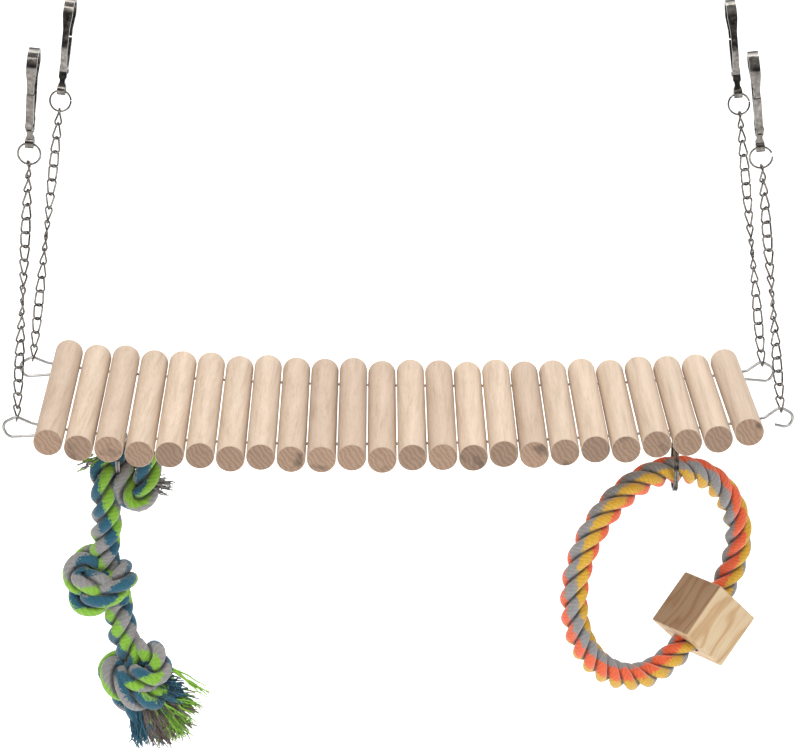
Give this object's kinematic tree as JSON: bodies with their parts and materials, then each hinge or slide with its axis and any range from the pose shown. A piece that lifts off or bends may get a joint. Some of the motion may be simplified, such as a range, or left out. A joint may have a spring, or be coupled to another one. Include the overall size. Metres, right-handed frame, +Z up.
{
  "type": "hanging pet bridge with rope toys",
  "caption": "Hanging pet bridge of round wooden dowels on wires, with chains, snap hooks, a knotted rope and a rope ring with a wooden block",
  "frame": {"origin": "middle of the four hooks, at the height of the bars that they clip over", "axes": "+Z up, +X along the bridge to the right seen from the front, front at -Y"},
  "size_m": [0.4385, 0.1544, 0.4372],
  "materials": {
    "pale_wood": "planed, unfinished",
    "block_wood": "sawn pine, unfinished",
    "steel_wire": "drawn wire",
    "nickel": "nickel plated",
    "warm_rope": "three-strand cotton rope",
    "cool_rope": "three-strand cotton rope"
  },
  "bodies": {
    "hooks": {"hook_front_left": "nickel", "hook_front_right": "nickel", "hook_back_left": "nickel", "hook_back_right": "nickel", "gate_rivets": "nickel"},
    "gate_front_left": {"gate_front_left": "nickel"},
    "gate_front_right": {"gate_front_right": "nickel"},
    "gate_back_left": {"gate_back_left": "nickel"},
    "gate_back_right": {"gate_back_right": "nickel"},
    "ring_front_left": {"jump_ring_front_left": "nickel"},
    "ring_front_right": {"jump_ring_front_right": "nickel"},
    "ring_back_left": {"jump_ring_back_left": "nickel"},
    "ring_back_right": {"jump_ring_back_right": "nickel"},
    "chain_front_left": {"chain_front_left": "nickel"},
    "chain_front_right": {"chain_front_right": "nickel"},
    "chain_back_left": {"chain_back_left": "nickel"},
    "chain_back_right": {"chain_back_right": "nickel"},
    "end_link": {"end_link_front_left": "nickel"},
    "bridge": {"dowel_01": "pale_wood", "dowel_02": "pale_wood", "dowel_03": "pale_wood", "dowel_04": "pale_wood", "dowel_05": "pale_wood", "dowel_06": "pale_wood", "dowel_07": "pale_wood", "dowel_08": "pale_wood", "dowel_09": "pale_wood", "dowel_10": "pale_wood", "dowel_11": "pale_wood", "dowel_12": "pale_wood", "dowel_13": "pale_wood", "dowel_14": "pale_wood", "dowel_15": "pale_wood", "dowel_16": "pale_wood", "dowel_17": "pale_wood", "dowel_18": "pale_wood", "dowel_19": "pale_wood", "dowel_20": "pale_wood", "dowel_21": "pale_wood", "dowel_22": "pale_wood", "dowel_23": "pale_wood", "dowel_24": "pale_wood", "wire_front": "steel_wire", "wire_back": "steel_wire", "rope_screw_eye": "steel_wire", "ring_screw_eye": "steel_wire"},
    "knotted_rope": {"rope_split_ring": "nickel", "knotted_rope": "cool_rope", "rope_tassel": "cool_rope"},
    "split_ring": {"ring_split_ring": "nickel"},
    "rope_ring": {"rope_ring": "warm_rope", "block": "block_wood"}
  },
  "joints": [
    {"name": "gate_front_left_open", "type": "hinge", "parent": "hooks", "child": "gate_front_left", "pos_m": [-0.1906, -0.06667, -0.03305], "axis": [-0.9944, -0.0144, 0.105], "range_deg": [0, 26], "stiffness_Nm_per_rad": 0.02, "springref_deg": -28.65},
    {"name": "gate_front_right_open", "type": "hinge", "parent": "hooks", "child": "gate_front_right", "pos_m": [0.19038, -0.06674, -0.03311], "axis": [-0.992, 0.0181, -0.1251], "range_deg": [0, 26], "stiffness_Nm_per_rad": 0.02, "springref_deg": -28.65},
    {"name": "gate_back_left_open", "type": "hinge", "parent": "hooks", "child": "gate_back_left", "pos_m": [-0.1904, 0.06674, -0.03311], "axis": [0.9921, -0.0179, -0.1241], "range_deg": [0, 26], "stiffness_Nm_per_rad": 0.02, "springref_deg": -28.65},
    {"name": "gate_back_right_open", "type": "hinge", "parent": "hooks", "child": "gate_back_right", "pos_m": [0.19052, 0.06674, -0.03309], "axis": [0.9936, 0.0161, 0.1118], "range_deg": [0, 26], "stiffness_Nm_per_rad": 0.02, "springref_deg": -28.65},
    {"name": "swing_across_front_left", "type": "hinge", "parent": "hooks", "child": "ring_front_left", "pos_m": [-0.19175, -0.06204, -0.04331], "axis": [1, 0, 0], "range_deg": [-7, 7]},
    {"name": "swing_along_front_left", "type": "hinge", "parent": "ring_front_left", "child": "chain_front_left", "pos_m": [-0.19238, -0.06124, -0.04917], "axis": [0, 1, 0], "range_deg": [-7, 7]},
    {"name": "swing_across_front_right", "type": "hinge", "parent": "hooks", "child": "ring_front_right", "pos_m": [0.19176, -0.06204, -0.04331], "axis": [1, 0, 0], "range_deg": [-7.61, 7.61]},
    {"name": "swing_along_front_right", "type": "hinge", "parent": "ring_front_right", "child": "chain_front_right", "pos_m": [0.19251, -0.06119, -0.04915], "axis": [0, 1, 0], "range_deg": [-6.96, 6.96]},
    {"name": "swing_across_back_left", "type": "hinge", "parent": "hooks", "child": "ring_back_left", "pos_m": [-0.19176, 0.06204, -0.04331], "axis": [1, 0, 0], "range_deg": [-7.66, 7.66]},
    {"name": "swing_along_back_left", "type": "hinge", "parent": "ring_back_left", "child": "chain_back_left", "pos_m": [-0.1925, 0.06119, -0.04915], "axis": [0, 1, 0], "range_deg": [-6.78, 6.78]},
    {"name": "swing_across_back_right", "type": "hinge", "parent": "hooks", "child": "ring_back_right", "pos_m": [0.19175, 0.06204, -0.04331], "axis": [1, 0, 0], "range_deg": [-7.64, 7.64]},
    {"name": "swing_along_back_right", "type": "hinge", "parent": "ring_back_right", "child": "chain_back_right", "pos_m": [0.19242, 0.06119, -0.04916], "axis": [0, 1, 0], "range_deg": [-7.14, 7.14]},
    {"name": "end_link_tilt", "type": "hinge", "parent": "chain_front_left", "child": "end_link", "pos_m": [-0.20829, -0.04099, -0.19705], "axis": [0, 1, 0], "range_deg": [-6.54, 6.54]},
    {"name": "bridge_tilt", "type": "hinge", "parent": "end_link", "child": "bridge", "pos_m": [-0.20906, -0.04, -0.20426], "axis": [1, 0, 0], "range_deg": [-11.1, 11.1]},
    {"name": "knotted_rope_swing", "type": "hinge", "parent": "bridge", "child": "knotted_rope", "pos_m": [-0.15789, 0, -0.23413], "axis": [1, 0, 0], "range_deg": [-20, 20]},
    {"name": "split_ring_swing", "type": "hinge", "parent": "bridge", "child": "split_ring", "pos_m": [0.15789, 0, -0.23325], "axis": [1, 0, 0], "range_deg": [-20, 20]},
    {"name": "rope_ring_swing", "type": "hinge", "parent": "split_ring", "child": "rope_ring", "pos_m": [0.15789, 0, -0.24637], "axis": [0.6293, -0.7771, 0], "range_deg": [-6, 6]}
  ],
  "couplings": [
    {"joint": "swing_across_front_right", "follows": "swing_across_front_left", "ratio": 1.0724},
    {"joint": "swing_along_front_right", "follows": "swing_along_front_left", "ratio": 0.9797},
    {"joint": "swing_across_back_left", "follows": "swing_across_front_left", "ratio": 1.0807},
    {"joint": "swing_along_back_left", "follows": "swing_along_front_left", "ratio": 0.9548},
    {"joint": "swing_across_back_right", "follows": "swing_across_front_left", "ratio": 1.0768},
    {"joint": "swing_along_back_right", "follows": "swing_along_front_left", "ratio": 1.0054},
    {"joint": "end_link_tilt", "follows": "swing_along_front_left", "ratio": -0.9198},
    {"joint": "bridge_tilt", "follows": "swing_across_front_left", "ratio": -1.5707}
  ]
}
